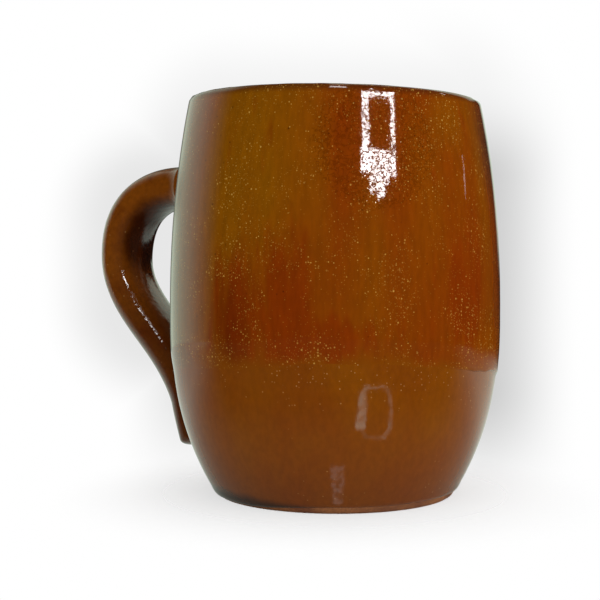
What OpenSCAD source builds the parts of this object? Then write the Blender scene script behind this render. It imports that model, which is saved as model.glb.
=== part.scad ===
// Clay mug of the jarrito kind: a thrown cup with a pulled strap handle, glazed in two coats.
// Millimetres. The origin is the centre of the flat foot, +Z is up and the handle points along -X.

/* [Body] */
// Height from the table to the top of the glazed lip
mug_h = 110; // [95:1:125]
// Largest radius of the clay wall
belly_r = 45.7; // [43:0.1:50]
// Height of the belly, where the clay wall is widest
belly_z = 50; // [44:1:60]
// Radius of the clay wall at the lip
rim_r = 40.1; // [37:0.1:43]
// Radius of the clay wall at the table
foot_r = 33.2; // [30:0.1:38]
// How quickly the wall draws in below the belly
heel_power = 2.5; // [2.2:0.1:3]
// How quickly the wall draws in above the belly
shoulder_power = 2.2; // [1.8:0.1:2.6]
// Bevel that the cutting wire leaves round the foot
foot_bevel = 0.4; // [0.2:0.1:1.2]

/* [Inside] */
// Thickness of the clay wall at the foot
wall_foot_t = 5.4; // [4.5:0.1:6.5]
// Thickness of the clay wall at the lip
wall_lip_t = 3.8; // [3.2:0.1:5]
// Radius of the lip's crisp outer edge
lip_edge_r = 0.5; // [0.3:0.1:1]
// Radius of the lip's soft inner edge
lip_round_r = 2; // [1:0.1:2.1]
// Thickness of the clay floor
floor_t = 6.4; // [5:0.1:9]
// Radius of the corner between the floor and the wall
floor_corner_r = 14; // [8:1:18]

/* [Handle] */
// Width of the pulled strap at its waist
strap_w = 20; // [16:0.5:24]
// Thickness of the pulled strap at its waist
strap_t = 11.4; // [10:0.2:14]
// How far below the top of the lip the strap's centreline leaves the wall
top_root_drop = 23.2; // [21:0.2:28]
// Furthest reach of the strap's centreline from the axis of the mug
reach_r = 66.6; // [64:0.2:74]
// How far that furthest point lies below the upper root
reach_drop = 20.7; // [17:0.1:26]
// Height where the strap comes down onto the wall
low_root_z = 24.8; // [22:0.2:30]
// Height of the end of the pressed tail, before its rounded tip
tail_z = 14.6; // [12:0.2:17]
// Length of the tail's rounded tip
tail_tip = 2.4; // [1.5:0.1:3.5]

/* [Joints] */
// Thickness of the slip between the strap and the wall
slip_t = 0.5; // [0.2:0.05:0.5]
// How far the upper root flares out where it is blended into the wall
root_flare = 1.8; // [0:0.2:3]
// Distance from the wall over which the upper root flares
root_flare_run = 4; // [2:0.5:6]
// How far the sides of the tail are thumbed out onto the wall
tail_skirt = 1.6; // [0:0.2:3]

/* [Glaze] */
// Thickness of the first coat, outside and inside
first_coat_t = 0.3; // [0.2:0.05:0.5]
// Thickness of the second coat
dip_coat_t = 0.4; // [0.2:0.05:0.6]
// Thickness of the coat on the handle
handle_coat_t = 0.4; // [0.2:0.05:0.6]
// Height of the bare clay strip above the table
foot_line_z = 1.6; // [1.3:0.1:4]
// Distance over which a coat thins out at its edge
coat_feather = 0.7; // [0.4:0.1:1.5]
// Height of the second coat's lower edge, on the axis
dip_line_z = 32.4; // [26:0.2:44]
// How far that edge rises on its high side, and falls on the other
dip_rise = 7.6; // [0:0.2:12]
// Direction of the high side, in degrees from +X
dip_turn = -70; // [-180:5:180]
// How far the second coat reaches down inside the lip
dip_inside = 9; // [5:1:20]

/* [Hidden] */

// Facets round a turned shape, and steps along each stretch of its outline
turn_sides = 180;
heel_steps = 18;
shoulder_steps = 16;
lip_edge_steps = 4;
lip_round_steps = 8;
corner_steps = 8;
collar_steps = 3;

// Sides of the strap's rings, and rings along each stretch of it
ring_sides = 24;
bow_rings = 13;
fall_rings = 16;
tail_rings = 5;
tip_rings = 3;

// Where the rings that carry each joint end and start, as counts of rings
upper_root_rings = 5;
lower_root_rings = 10;

// Curve of the strap: lengths of the two curve arms above and below the furthest point,
// and of the arm that leads into the tail, as shares of the heights that they span
bow_arm_share = 1.14;
fall_arm_share = 0.388;
tail_arm_share = 0.42;
// Length of the arm that leads out of the wall, as a share of the strap's reach
root_arm_share = 0.1;
// Distance of the strap's centreline from the wall where it lands and at its end,
// as shares of the strap's thickness
landing_share = 0.06;
tail_lift_share = 0.14;
// How deep the strap's upper end is set into the wall, as a share of the wall
bury_share = 0.55;
// Places along the strap, and its thickness and width there, as shares of the waist's
station_shares = [0, 0.25, 0.5, 0.78, 1];
thickness_shares = [0.93, 1.04, 0.98, 0.98, 0.72];
width_shares = [1.16, 1, 0.97, 0.96, 0.98];
// Squareness of the strap's section: 2 is an ellipse
section_power = 2.25;

// Both coats together, the top of the clay, and the heights of the upper root and the furthest reach
coats_t = first_coat_t + dip_coat_t;
lip_z = mug_h - coats_t;
top_root_z = mug_h - top_root_drop;
reach_z = top_root_z - reach_drop;

// Outer radius of the clay wall at a height, and how fast it changes
function outer_r(z) =
    z < belly_z
    ? belly_r - (belly_r - foot_r) * pow((belly_z - z) / belly_z, heel_power)
    : belly_r - (belly_r - rim_r) * pow((z - belly_z) / (lip_z - belly_z), shoulder_power);

function outer_slope(z) =
    z < belly_z
    ? (belly_r - foot_r) * heel_power / belly_z * pow((belly_z - z) / belly_z, heel_power - 1)
    : -(belly_r - rim_r) * shoulder_power / (lip_z - belly_z)
        * pow((z - belly_z) / (lip_z - belly_z), shoulder_power - 1);

// Thickness of the wall square to its surface, and inner radius before the corner is filled
function wall_t(z) = wall_foot_t + (wall_lip_t - wall_foot_t) * z / lip_z;
function inner_wall_r(z) = outer_r(z) - wall_t(z) * sqrt(1 + pow(outer_slope(z), 2));

// Evenly spaced values from a to b, and a list without its first entry
function spaced(a, b, steps) = [for (i = [0 : steps]) a + (b - a) * i / steps];
function rest_of(list) = [for (i = [1 : len(list) - 1]) list[i]];
function part_of(list, first, last) = [for (i = [first : last]) list[i]];
function reversed(list) = [for (i = [len(list) - 1 : -1 : 0]) list[i]];

// Outline of the clay, from the foot line up the outside, over the lip and down to the floor's centre
lean = atan(-outer_slope(lip_z));
edge_z = lip_z - lip_edge_r;
edge_start_z = edge_z + lip_edge_r * sin(lean);
edge_r = outer_r(edge_start_z) - lip_edge_r * cos(lean);
round_z = lip_z - lip_round_r;
round_end_z = round_z - lip_round_r * sin(lean);
round_r = inner_wall_r(round_end_z) + lip_round_r * cos(lean);
collar_z = lip_z - dip_inside;
corner_top_z = floor_t + floor_corner_r;

outside_z = concat(
    [foot_line_z],
    spaced(foot_line_z + coat_feather, belly_z, heel_steps),
    rest_of(spaced(belly_z, edge_start_z, shoulder_steps))
);
outside_outline = [for (z = outside_z) [outer_r(z), z]];

lip_outline = concat(
    [
        for (turn = spaced(lean, 90, lip_edge_steps))
        [edge_r + lip_edge_r * cos(turn), edge_z + lip_edge_r * sin(turn)]
    ],
    [
        for (turn = spaced(90, 180 + lean, lip_round_steps))
        [round_r + lip_round_r * cos(turn), round_z + lip_round_r * sin(turn)]
    ]
);

inside_z = concat(
    spaced(round_end_z, collar_z, collar_steps),
    [collar_z - coat_feather],
    rest_of(spaced(collar_z - coat_feather, corner_top_z, heel_steps + shoulder_steps))
);
inside_outline = [for (z = inside_z) [inner_wall_r(z), z]];

corner_outline = [
    for (turn = spaced(0, 90, corner_steps))
    let (z = corner_top_z - floor_corner_r * sin(turn))
    [inner_wall_r(z) - floor_corner_r * (1 - cos(turn)), z]
];

clay_outline = concat(
    outside_outline,
    rest_of(lip_outline),
    rest_of(inside_outline),
    rest_of(corner_outline),
    [[0, floor_t]]
);
foot_outline = [
    [0, 0],
    [outer_r(0) - foot_bevel, 0],
    [outer_r(foot_bevel), foot_bevel],
];

last_point = len(clay_outline) - 1;
crown_point = len(outside_outline) - 1 + lip_edge_steps;
collar_point = len(outside_outline) - 1 + len(lip_outline) - 1 + collar_steps;

// Direction out of the clay at a point of its outline, and the outline at a distance t over the clay
function normal_at(i) =
    let (
        step = clay_outline[min(i + 1, last_point)] - clay_outline[max(i - 1, 0)],
        run = norm(step)
    )
    [step[1] / run, -step[0] / run];

function coat_point(i, t) =
    let (place = clay_outline[i] + t * normal_at(i))
    i == last_point ? [0, place[1]] : place;

function coat_outline(t) = [for (i = [0 : last_point]) coat_point(i, t)];

first_outline = coat_outline(first_coat_t);
dip_outline = coat_outline(coats_t);

// Solid of revolution of a closed outline
module turned(outline) {
    rotate_extrude($fn = turn_sides) polygon(outline);
}

// The whole space inside the outer surface of the wall, at a distance t over the clay
module wall_space(t) {
    skin = part_of(coat_outline(t), 0, len(outside_outline) - 1);
    bottom = skin[0];
    top = skin[len(skin) - 1];
    turned(concat([[0, bottom[1]]], skin, [[0, top[1]]]));
}

// Points of the strap's centreline, as [distance from the axis, height]
function bezier(a, b, c, d, u) =
    pow(1 - u, 3) * a + 3 * u * pow(1 - u, 2) * b + 3 * u * u * (1 - u) * c + pow(u, 3) * d;

function wall_normal(z) = [1, -outer_slope(z)] / sqrt(1 + pow(outer_slope(z), 2));
function off_wall(z, t) = [outer_r(z), z] + t * wall_normal(z);

root_point = off_wall(top_root_z, coats_t) - [wall_t(top_root_z) * bury_share, 0];
reach_point = [reach_r, reach_z];
landing_point = off_wall(low_root_z, strap_t * landing_share);
up_the_wall = [-wall_normal(low_root_z)[1], wall_normal(low_root_z)[0]];

bow = [
    for (u = spaced(0, 1, bow_rings))
    bezier(
        root_point,
        root_point + [(reach_r - root_point[0]) * root_arm_share, 0],
        reach_point + [0, (top_root_z - reach_z) * bow_arm_share],
        reach_point,
        u
    )
];
fall = [
    for (u = spaced(0, 1, fall_rings))
    bezier(
        reach_point,
        reach_point - [0, (reach_z - low_root_z) * fall_arm_share],
        landing_point + up_the_wall * (reach_z - low_root_z) * tail_arm_share,
        landing_point,
        u
    )
];
tail = [
    for (u = spaced(0, 1, tail_rings))
    off_wall(
        low_root_z + (tail_z - low_root_z) * u,
        strap_t * (landing_share + (tail_lift_share - landing_share) * u)
    )
];
centreline = concat(bow, rest_of(fall), rest_of(tail));
last_ring = len(centreline) - 1;

// Flare of the upper root at a ring, and skirt of the tail there
function flare_at(i) =
    let (
        off = centreline[i][0] - outer_r(centreline[i][1]),
        near = i > bow_rings ? 0 : 1 - min(1, max(0, off) / root_flare_run)
    )
    root_flare * near * near;

function skirt_at(i) = tail_skirt * eased(min(1, max(0, i - bow_rings) / fall_rings));

// Direction of travel at a ring, and the share of the strap's length that lies before it
function travel(i) =
    let (step = centreline[min(i + 1, last_ring)] - centreline[max(i - 1, 0)])
    step / norm(step);

function length_to(i) = i == 0 ? 0 : length_to(i - 1) + norm(centreline[i] - centreline[i - 1]);
strap_length = length_to(last_ring);

// Value at a share of the length, eased from one station to the next
function eased(u) = u * u * (3 - 2 * u);
function at_share(values, share) =
    let (
        later = [for (k = [1 : len(station_shares) - 1]) if (share <= station_shares[k]) k],
        k = len(later) > 0 ? later[0] : len(station_shares) - 1,
        gap = station_shares[k] - station_shares[k - 1],
        u = min(1, (share - station_shares[k - 1]) / gap)
    )
    values[k - 1] + (values[k] - values[k - 1]) * eased(u);

// One ring of the strap: its centre, its outward direction, half of its thickness and width,
// and how far its wall side is wider than its outer side
function signed_power(v, p) = sign(v) * pow(abs(v), p);
function ring(centre, outward, half_t, half_w, skirt) = [
    for (j = [0 : ring_sides - 1])
    let (
        turn = 360 * j / ring_sides,
        place = centre + outward * half_t * signed_power(cos(turn), 2 / section_power),
        reach = half_w + skirt * (1 - cos(turn)) / 2
    )
    [-place[0], reach * signed_power(sin(turn), 2 / section_power), place[1]]
];

function strap_ring(i, margin) =
    let (share = length_to(i) / strap_length)
    ring(
        centreline[i],
        [-travel(i)[1], travel(i)[0]],
        strap_t / 2 * at_share(thickness_shares, share) + margin + flare_at(i),
        strap_w / 2 * at_share(width_shares, share) + margin + flare_at(i),
        skirt_at(i)
    );

// Rings of the tail's tip, which shrink along a quarter of an ellipse
tip_end_turn = 80;
function tip_ring(turn, margin) =
    ring(
        centreline[last_ring] + travel(last_ring) * (tail_tip + margin) * sin(turn),
        [-travel(last_ring)[1], travel(last_ring)[0]],
        (strap_t / 2 * thickness_shares[len(thickness_shares) - 1] + margin) * cos(turn),
        (strap_w / 2 * width_shares[len(width_shares) - 1] + margin) * cos(turn),
        tail_skirt * cos(turn)
    );

function strap_rings(first, last, margin) = concat(
    [for (i = [first : last]) strap_ring(i, margin)],
    last < last_ring ? [] : [for (turn = rest_of(spaced(0, tip_end_turn, tip_rings))) tip_ring(turn, margin)]
);

// Faces of a skin through rings whose points start at a given one, and of a ring's flat end
function skin_faces(start, steps) = [
    for (i = [0 : steps - 1])
    for (j = [0 : ring_sides - 1])
    let (
        a = start + i * ring_sides + j,
        b = start + i * ring_sides + (j + 1) % ring_sides,
        c = b + ring_sides,
        d = a + ring_sides
    )
    each [[a, d, b], [b, d, c]]
];
function end_face(start) = [for (j = [ring_sides - 1 : -1 : 0]) start + j];
function flipped(faces) = [for (face = faces) reversed(face)];

// A solid with a skin through a list of rings
module loft(rings) {
    steps = len(rings) - 1;
    polyhedron(
        points = [for (one = rings) each one],
        faces = concat(
            [reversed(end_face(0))],
            skin_faces(0, steps),
            [end_face(steps * ring_sides)]
        ),
        convexity = 4
    );
}

// The coat between two skins through as many rings, closed at the far end like a sock
module sock(outer, inner) {
    steps = len(outer) - 1;
    half = len(outer) * ring_sides;
    polyhedron(
        points = [for (one = concat(outer, inner)) each one],
        faces = concat(
            skin_faces(0, steps),
            [end_face(steps * ring_sides)],
            flipped(skin_faces(half, steps)),
            [reversed(end_face(half + steps * ring_sides))],
            [
                for (j = [0 : ring_sides - 1])
                let (k = (j + 1) % ring_sides)
                each [[j, k, half + k], [j, half + k, half + j]]
            ]
        ),
        convexity = 6
    );
}

module strap(margin) {
    loft(strap_rings(0, last_ring, margin));
}

module upper_root(margin) {
    loft(strap_rings(0, upper_root_rings, margin));
}

module lower_root(margin) {
    loft(strap_rings(last_ring - lower_root_rings, last_ring, margin));
}

// What the two glazed joints take out of the coats on the wall
module root_cuts() {
    upper_root(handle_coat_t);
    lower_root(handle_coat_t);
}

// The slip under one root, which reaches as far as the coats on the wall
module joint_slip() {
    difference() {
        intersection() {
            children();
            wall_space(coats_t);
        }
        wall_space(0);
        clay_handle();
    }
}

// Everything below the slanted lower edge of the second coat
module below_dip_line() {
    reach = mug_h;
    translate([0, 0, dip_line_z])
        rotate([0, 0, dip_turn])
            rotate([0, -atan(dip_rise / belly_r), 0])
                translate([-reach, -reach, -2 * reach])
                    cube([2 * reach, 2 * reach, 2 * reach]);
}

// The thrown cup: wall, floor and lip in one piece of clay, wired off flat at the foot
module clay_body() {
    color("#a5663a") turned(concat(foot_outline, clay_outline));
}

// The strap, pulled from a lump, bowed and cut where it meets the slip
module clay_handle() {
    color("#9c5c32")
        difference() {
            strap(0);
            wall_space(slip_t);
        }
}

// The slip that bonds the strap's upper end to the wall
module upper_joint_slip() {
    color("#7d4524") joint_slip() upper_root(handle_coat_t);
}

// The slip that bonds the pressed tail to the wall
module lower_joint_slip() {
    color("#7d4524") joint_slip() lower_root(handle_coat_t);
}

// The first coat outside, from above the bare foot to the crown of the lip
module first_coat_glaze() {
    color("#6b3a15")
        difference() {
            turned(concat(
                part_of(clay_outline, 0, crown_point),
                reversed(part_of(first_outline, 1, crown_point))
            ));
            root_cuts();
        }
}

// The second coat, dipped at a slant: over the upper wall and the lip, and a little way down inside
module dip_coat_glaze() {
    color("#93510a")
        difference() {
            turned(concat(
                part_of(first_outline, 0, collar_point + 1),
                reversed(part_of(dip_outline, 0, collar_point))
            ));
            below_dip_line();
            root_cuts();
        }
}

// The coat inside, poured in and out, from the floor to the crown of the lip
module liner_glaze() {
    color("#7a4210")
        turned(concat(
            part_of(clay_outline, crown_point, last_point),
            reversed(part_of(first_outline, crown_point, last_point))
        ));
}

// The coat on the strap, down to the coats on the wall
module handle_glaze() {
    color("#7e430c")
        difference() {
            sock(strap_rings(0, last_ring, handle_coat_t), strap_rings(0, last_ring, 0));
            wall_space(coats_t);
        }
}

clay_body();
clay_handle();
upper_joint_slip();
lower_joint_slip();
first_coat_glaze();
dip_coat_glaze();
liner_glaze();
handle_glaze();
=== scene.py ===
import math

import bmesh
import bpy
import numpy as np
from mathutils import Matrix, Vector


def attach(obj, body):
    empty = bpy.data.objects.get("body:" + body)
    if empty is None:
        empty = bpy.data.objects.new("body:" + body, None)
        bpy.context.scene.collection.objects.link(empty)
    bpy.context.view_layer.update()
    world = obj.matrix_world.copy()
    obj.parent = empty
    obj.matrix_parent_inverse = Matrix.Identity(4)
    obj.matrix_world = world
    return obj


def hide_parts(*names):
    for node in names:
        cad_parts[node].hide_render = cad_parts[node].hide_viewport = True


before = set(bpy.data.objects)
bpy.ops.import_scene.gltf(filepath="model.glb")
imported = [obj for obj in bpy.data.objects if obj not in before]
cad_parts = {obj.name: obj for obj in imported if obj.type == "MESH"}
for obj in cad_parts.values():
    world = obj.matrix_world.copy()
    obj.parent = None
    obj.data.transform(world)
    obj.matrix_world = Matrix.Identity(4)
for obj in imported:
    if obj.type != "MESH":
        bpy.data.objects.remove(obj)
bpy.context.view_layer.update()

scene = bpy.context.scene

# One millimetre in metres: the shapes below are worked out in millimetres
MM = 0.001

# Sizes of the cup, as in the source
MUG_H = 110.0
BELLY_R = 45.7
BELLY_Z = 50.0
RIM_R = 40.1
FOOT_R = 33.2
HEEL_POWER = 2.5
SHOULDER_POWER = 2.2
FOOT_BEVEL = 0.4
WALL_FOOT_T = 5.4
WALL_LIP_T = 3.8
LIP_EDGE_R = 0.5
LIP_ROUND_R = 2.0
FLOOR_T = 6.4
FLOOR_CORNER_R = 14.0

# Sizes of the strap, as in the source
STRAP_W = 20.0
STRAP_T = 11.4
TOP_ROOT_DROP = 23.2
TOP_ROOT_Z = MUG_H - TOP_ROOT_DROP
REACH_R = 66.6
REACH_DROP = 20.7
REACH_Z = TOP_ROOT_Z - REACH_DROP
LOW_ROOT_Z = 24.8
TAIL_Z = 14.6
TAIL_TIP = 2.4
ROOT_FLARE = 1.8
ROOT_FLARE_RUN = 4.0
TAIL_SKIRT = 1.6
BOW_ARM_SHARE = 1.14
FALL_ARM_SHARE = 0.388
TAIL_ARM_SHARE = 0.42
ROOT_ARM_SHARE = 0.1
LANDING_SHARE = 0.06
TAIL_LIFT_SHARE = 0.14
BURY_SHARE = 0.55
STATION_SHARES = [0, 0.25, 0.5, 0.78, 1]
THICKNESS_SHARES = [0.93, 1.04, 0.98, 0.98, 0.72]
WIDTH_SHARES = [1.16, 1, 0.97, 0.96, 0.98]
SECTION_POWER = 2.25

# Thicknesses of the coats and the places of their edges, as in the source
FIRST_COAT_T = 0.3
DIP_COAT_T = 0.4
HANDLE_COAT_T = 0.4
COATS_T = FIRST_COAT_T + DIP_COAT_T
LIP_Z = MUG_H - COATS_T
DIP_LINE_Z = 32.4
DIP_RISE = 7.6
DIP_TURN = math.radians(-70)
DIP_INSIDE = 9.0

# The camera: where it stands round the mug, how far, how high and what it looks at
CAMERA_TURN = math.radians(20)
CAMERA_D = 357.5
CAMERA_Z = 66.9
AIM_RIGHT = -9.77
AIM_Z = 54.25
FOCAL_PX = 1262.0
FRAME_PX = 600.0
SENSOR_MM = 36.0
CLIP_START = 0.01
RIGHT = np.array([math.cos(CAMERA_TURN), math.sin(CAMERA_TURN), 0])
AHEAD = np.array([-math.sin(CAMERA_TURN), math.cos(CAMERA_TURN), 0])
UP = np.array([0, 0, 1.0])

# The lip leans a little: it is higher on the handle's side, as far down as this
LIP_LEAN = 0.02
LEAN_FROM_Z = 86.0
LEAN_FULL_Z = 109.0


def turns_of(sides):
    return np.linspace(0, math.tau, sides, endpoint=False)


def unit(vector):
    return vector / np.linalg.norm(vector)


def round_place(turn, height, reach):
    """A place at a turn from the camera's side, in degrees, a height and a distance from the axis."""
    angle = math.radians(turn)
    return (RIGHT * math.sin(angle) - AHEAD * math.cos(angle)) * reach + UP * height


# The camera's place, its axes, and the width of a pixel at a distance of one
camera_place = AHEAD * -CAMERA_D + UP * CAMERA_Z
aim_place = RIGHT * AIM_RIGHT + UP * AIM_Z
look_axis = unit(aim_place - camera_place)
side_axis = unit(np.cross(look_axis, UP))
top_axis = np.cross(side_axis, look_axis)
PX = 1 / FOCAL_PX


# Shared curves

def eased(u):
    u = np.clip(u, 0, 1)
    return u * u * (3 - 2 * u)


def outer_r(z):
    z = np.asarray(z, float)
    low = np.clip((BELLY_Z - z) / BELLY_Z, 0, None) ** HEEL_POWER
    high = np.clip((z - BELLY_Z) / (LIP_Z - BELLY_Z), 0, None) ** SHOULDER_POWER
    return BELLY_R - (BELLY_R - FOOT_R) * low - (BELLY_R - RIM_R) * high


def outer_slope(z):
    z = np.asarray(z, float)
    low = np.clip((BELLY_Z - z) / BELLY_Z, 0, None) ** (HEEL_POWER - 1)
    high = np.clip((z - BELLY_Z) / (LIP_Z - BELLY_Z), 0, None) ** (SHOULDER_POWER - 1)
    heel = (BELLY_R - FOOT_R) * HEEL_POWER / BELLY_Z
    shoulder = (BELLY_R - RIM_R) * SHOULDER_POWER / (LIP_Z - BELLY_Z)
    return heel * low - shoulder * high


def wall_t(z):
    return WALL_FOOT_T + (WALL_LIP_T - WALL_FOOT_T) * np.asarray(z, float) / LIP_Z


def inner_wall_r(z):
    return outer_r(z) - wall_t(z) * np.sqrt(1 + outer_slope(z) ** 2)


# The clay's outline, from the table up the outside, over the lip and down to the floor's centre

LINE_STEP = 0.35
ARC_STEPS = 14
lean = math.atan(-float(outer_slope(LIP_Z)))
edge_z = LIP_Z - LIP_EDGE_R
edge_start_z = edge_z + LIP_EDGE_R * math.sin(lean)
edge_r = float(outer_r(edge_start_z)) - LIP_EDGE_R * math.cos(lean)
round_z = LIP_Z - LIP_ROUND_R
round_end_z = round_z - LIP_ROUND_R * math.sin(lean)
round_r = float(inner_wall_r(round_end_z)) + LIP_ROUND_R * math.cos(lean)
corner_top_z = FLOOR_T + FLOOR_CORNER_R


def arc(centre_r, centre_z, radius, start, end):
    turns = np.linspace(start, end, ARC_STEPS)
    return np.stack([centre_r + radius * np.cos(turns), centre_z + radius * np.sin(turns)], -1)


def wall_line(radius_at, start, end):
    heights = np.linspace(start, end, int(abs(end - start) / LINE_STEP) + 2)
    return np.stack([radius_at(heights), heights], -1)


corner_turns = np.linspace(0, math.pi / 2, 3 * ARC_STEPS)
corner_z = corner_top_z - FLOOR_CORNER_R * np.sin(corner_turns)
corner_line = np.stack([inner_wall_r(corner_z) - FLOOR_CORNER_R * (1 - np.cos(corner_turns)), corner_z], -1)
floor_radii = np.linspace(corner_line[-1, 0], 0, int(corner_line[-1, 0] / LINE_STEP))
floor_line = np.stack([floor_radii, np.full_like(floor_radii, FLOOR_T)], -1)
CLAY_LINE = np.concatenate([
    wall_line(outer_r, FOOT_BEVEL, edge_start_z),
    arc(edge_r, edge_z, LIP_EDGE_R, lean, math.pi / 2)[1:],
    arc(round_r, round_z, LIP_ROUND_R, math.pi / 2, math.pi + lean),
    wall_line(inner_wall_r, round_end_z, corner_top_z)[1:],
    corner_line[1:],
    floor_line[1:],
])
steps = np.linalg.norm(np.diff(CLAY_LINE, axis=0), axis=1)
LINE_AT = np.concatenate([[0], np.cumsum(steps)])
along = np.gradient(CLAY_LINE, axis=0)
along /= np.linalg.norm(along, axis=1)[:, None]
LINE_NORMAL = np.stack([along[:, 1], -along[:, 0]], -1)
TOP_OF_LIP = int(np.argmax(CLAY_LINE[:, 1]))
CROWN_AT = float(LINE_AT[TOP_OF_LIP])


def line_point(at, lift):
    """Radius and height of a place on the clay's outline, lifted off the clay."""
    place = [np.interp(at, LINE_AT, CLAY_LINE[:, k]) for k in (0, 1)]
    out = [np.interp(at, LINE_AT, LINE_NORMAL[:, k]) for k in (0, 1)]
    return place[0] + out[0] * lift, place[1] + out[1] * lift


def outside_at(z):
    """Distance along the outline at a height of the outside."""
    return np.interp(z, CLAY_LINE[:TOP_OF_LIP + 1, 1], LINE_AT[:TOP_OF_LIP + 1])


def inside_at(z):
    return np.interp(-z, -CLAY_LINE[TOP_OF_LIP:, 1], LINE_AT[TOP_OF_LIP:])


# What throwing and firing did to the round cup: applied to every piece alike

OUT_RIPPLE = 0.006
IN_RIPPLE = 0.16
RIPPLE_PITCH = 6.5
BEAT_SHARE = 0.5
BEAT_TURN_SHARE = 0.43


def lip_tilt(points):
    weight = eased((points[..., 2] - LEAN_FROM_Z) / (LEAN_FULL_Z - LEAN_FROM_Z))
    points[..., 2] -= LIP_LEAN * (points @ RIGHT) * weight
    return points


def thrown(radius, height, turn):
    """Finger rings: faint outside, plain to see inside."""
    spiral = math.tau * height / RIPPLE_PITCH + turn
    wave = np.sin(spiral) + BEAT_SHARE * np.sin(BEAT_TURN_SHARE * spiral + 1)
    wall = np.clip((radius - inner_wall_r(height)) / wall_t(height), 0, 1)
    fade = eased((height - corner_top_z) / BELLY_Z) * eased((LIP_Z - height) / DIP_INSIDE)
    return radius + wave * fade * (OUT_RIPPLE * wall + IN_RIPPLE * (1 - wall))


# Objects and meshes

def placed(name, data):
    """An object of these data, in the scene."""
    made = bpy.data.objects.new(name, data)
    scene.collection.objects.link(made)
    return made


# Faces that meet at more than this keep a crisp edge
FOLD_ANGLE = math.radians(50)
# Points closer than this, in metres, become one
MERGE_D = 1e-7


def make_object(name, points, faces):
    mesh = bpy.data.meshes.new(name)
    mesh.from_pydata((points * MM).tolist(), [], faces)
    made = placed(name, mesh)
    shape = bmesh.new()
    shape.from_mesh(mesh)
    bmesh.ops.remove_doubles(shape, verts=shape.verts, dist=MERGE_D)
    bmesh.ops.recalc_face_normals(shape, faces=shape.faces)
    shape.to_mesh(mesh)
    shape.free()
    mesh.polygons.foreach_set("use_smooth", [True] * len(mesh.polygons))
    mesh.set_sharp_from_angle(angle=FOLD_ANGLE)
    return made


def grid_faces(rows, columns, closed_rows=False):
    faces = []
    for i in range(rows if closed_rows else rows - 1):
        a = i * columns
        b = (i + 1) % rows * columns
        for j in range(columns):
            k = (j + 1) % columns
            faces.append((a + j, a + k, b + k, b + j))
    return faces


TURN_SIDES = 300
TURNS = turns_of(TURN_SIDES)

# The flattest of a line's waves, as a share of the highest
LEAST_WAVE_SHARE = 0.4


def wavy_line(height, seed, counts):
    """A closed line that waves up and down by about this height, this many times round the mug."""
    pick = np.random.default_rng(seed)
    total = np.zeros_like(TURNS)
    for count in counts:
        phase = pick.uniform(0, math.tau)
        share = pick.uniform(LEAST_WAVE_SHARE, 1)
        total += np.sin(count * TURNS + phase) * share / math.sqrt(len(counts))
    return height * total


def turned_points(radius, height):
    radius = thrown(radius, height, TURNS)
    points = np.stack([radius * np.cos(TURNS), radius * np.sin(TURNS), height], -1)
    return lip_tilt(points)


# Rows of a coat are half evenly spaced and half crowded towards its edges, where the glaze rolls over
COAT_ROWS = 150
EVEN_SHARE = 0.5


def row_shares():
    u = np.linspace(0, 1, COAT_ROWS)
    crowded = 0.5 - 0.5 * np.cos(math.pi * u)
    return EVEN_SHARE * u + (1 - EVEN_SHARE) * crowded


EDGE_RUN = 0.8
BEAD_AT = 1.3
BEAD_RUN = 1.0
TAPER_RUN = 7.0
SEAT = 0.03


def edge_profile(off, step_share, bead):
    """Share of a coat's thickness, by distance from its edge: a rounded step, then a taper or a fat roll."""
    near = np.clip(off / EDGE_RUN, 0, 1)
    roll = np.sqrt(1 - (1 - near) ** 2)
    body = step_share + (1 - step_share) * eased(off / TAPER_RUN)
    return roll * body * (1 + bead * np.exp(-((off - BEAD_AT) / BEAD_RUN) ** 2))


def coat(name, start, end, base_t, coat_t, start_edge, end_edge=None):
    """A closed shell over the clay's outline, between two lines round the mug."""
    skins = [[], []]
    for u in row_shares():
        at = start + (end - start) * u
        share = edge_profile(at - start, *start_edge)
        if end_edge:
            share = share * edge_profile(end - at, *end_edge)
        skins[0].append(turned_points(*line_point(at, base_t + coat_t * share)))
        skins[1].append(turned_points(*line_point(at, base_t - SEAT)))
    points = np.concatenate([np.concatenate(skins[0]), np.concatenate(skins[1][::-1])])
    return make_object(name, points, grid_faces(2 * COAT_ROWS, TURN_SIDES, closed_rows=True))


to_right = np.stack([np.cos(TURNS), np.sin(TURNS)], -1) @ RIGHT[:2]

# The bare strip at the foot is widest on the camera's right and runs out on its left.
# A wave is given by its height, its seed and how often it comes round the mug
BARE_Z = 1.9
BARE_LEFT_Z = 0.5
BARE_FADE_SHARE = 0.75
BARE_WAVE = (0.07, 3, (3, 7, 11, 17, 29))
bare_share = eased((to_right + BARE_FADE_SHARE) / BARE_FADE_SHARE)
foot_line = BARE_LEFT_Z + (BARE_Z - BARE_LEFT_Z) * bare_share + wavy_line(*BARE_WAVE)

# The second coat's lower edge: a slanted line with slow waves and a few sags.
# It thins out softly in front and keeps a step at the camera's right
STEP_FRONT_SHARE = 0.02
STEP_RIGHT_SHARE = 0.9
STEP_FROM_SHARE = 0.6
STEP_RUN_SHARE = 0.25
DIP_WAVE = (0.8, 11, (2, 3, 5, 8))
DIP_SAGS = (0.22, 12, (13, 19, 31, 43))
step_turn_share = eased((to_right - STEP_FROM_SHARE) / STEP_RUN_SHARE)
dip_step_share = STEP_FRONT_SHARE + STEP_RIGHT_SHARE * step_turn_share
dip_slant = DIP_LINE_Z + DIP_RISE * np.cos(TURNS - DIP_TURN)
dip_line = dip_slant + wavy_line(*DIP_WAVE) + wavy_line(*DIP_SAGS)

# Its upper edge, inside the lip
INSIDE_WAVE = (0.5, 21, (2, 5, 9, 14))
dip_end = inside_at(LIP_Z - DIP_INSIDE + wavy_line(*INSIDE_WAVE))

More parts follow.
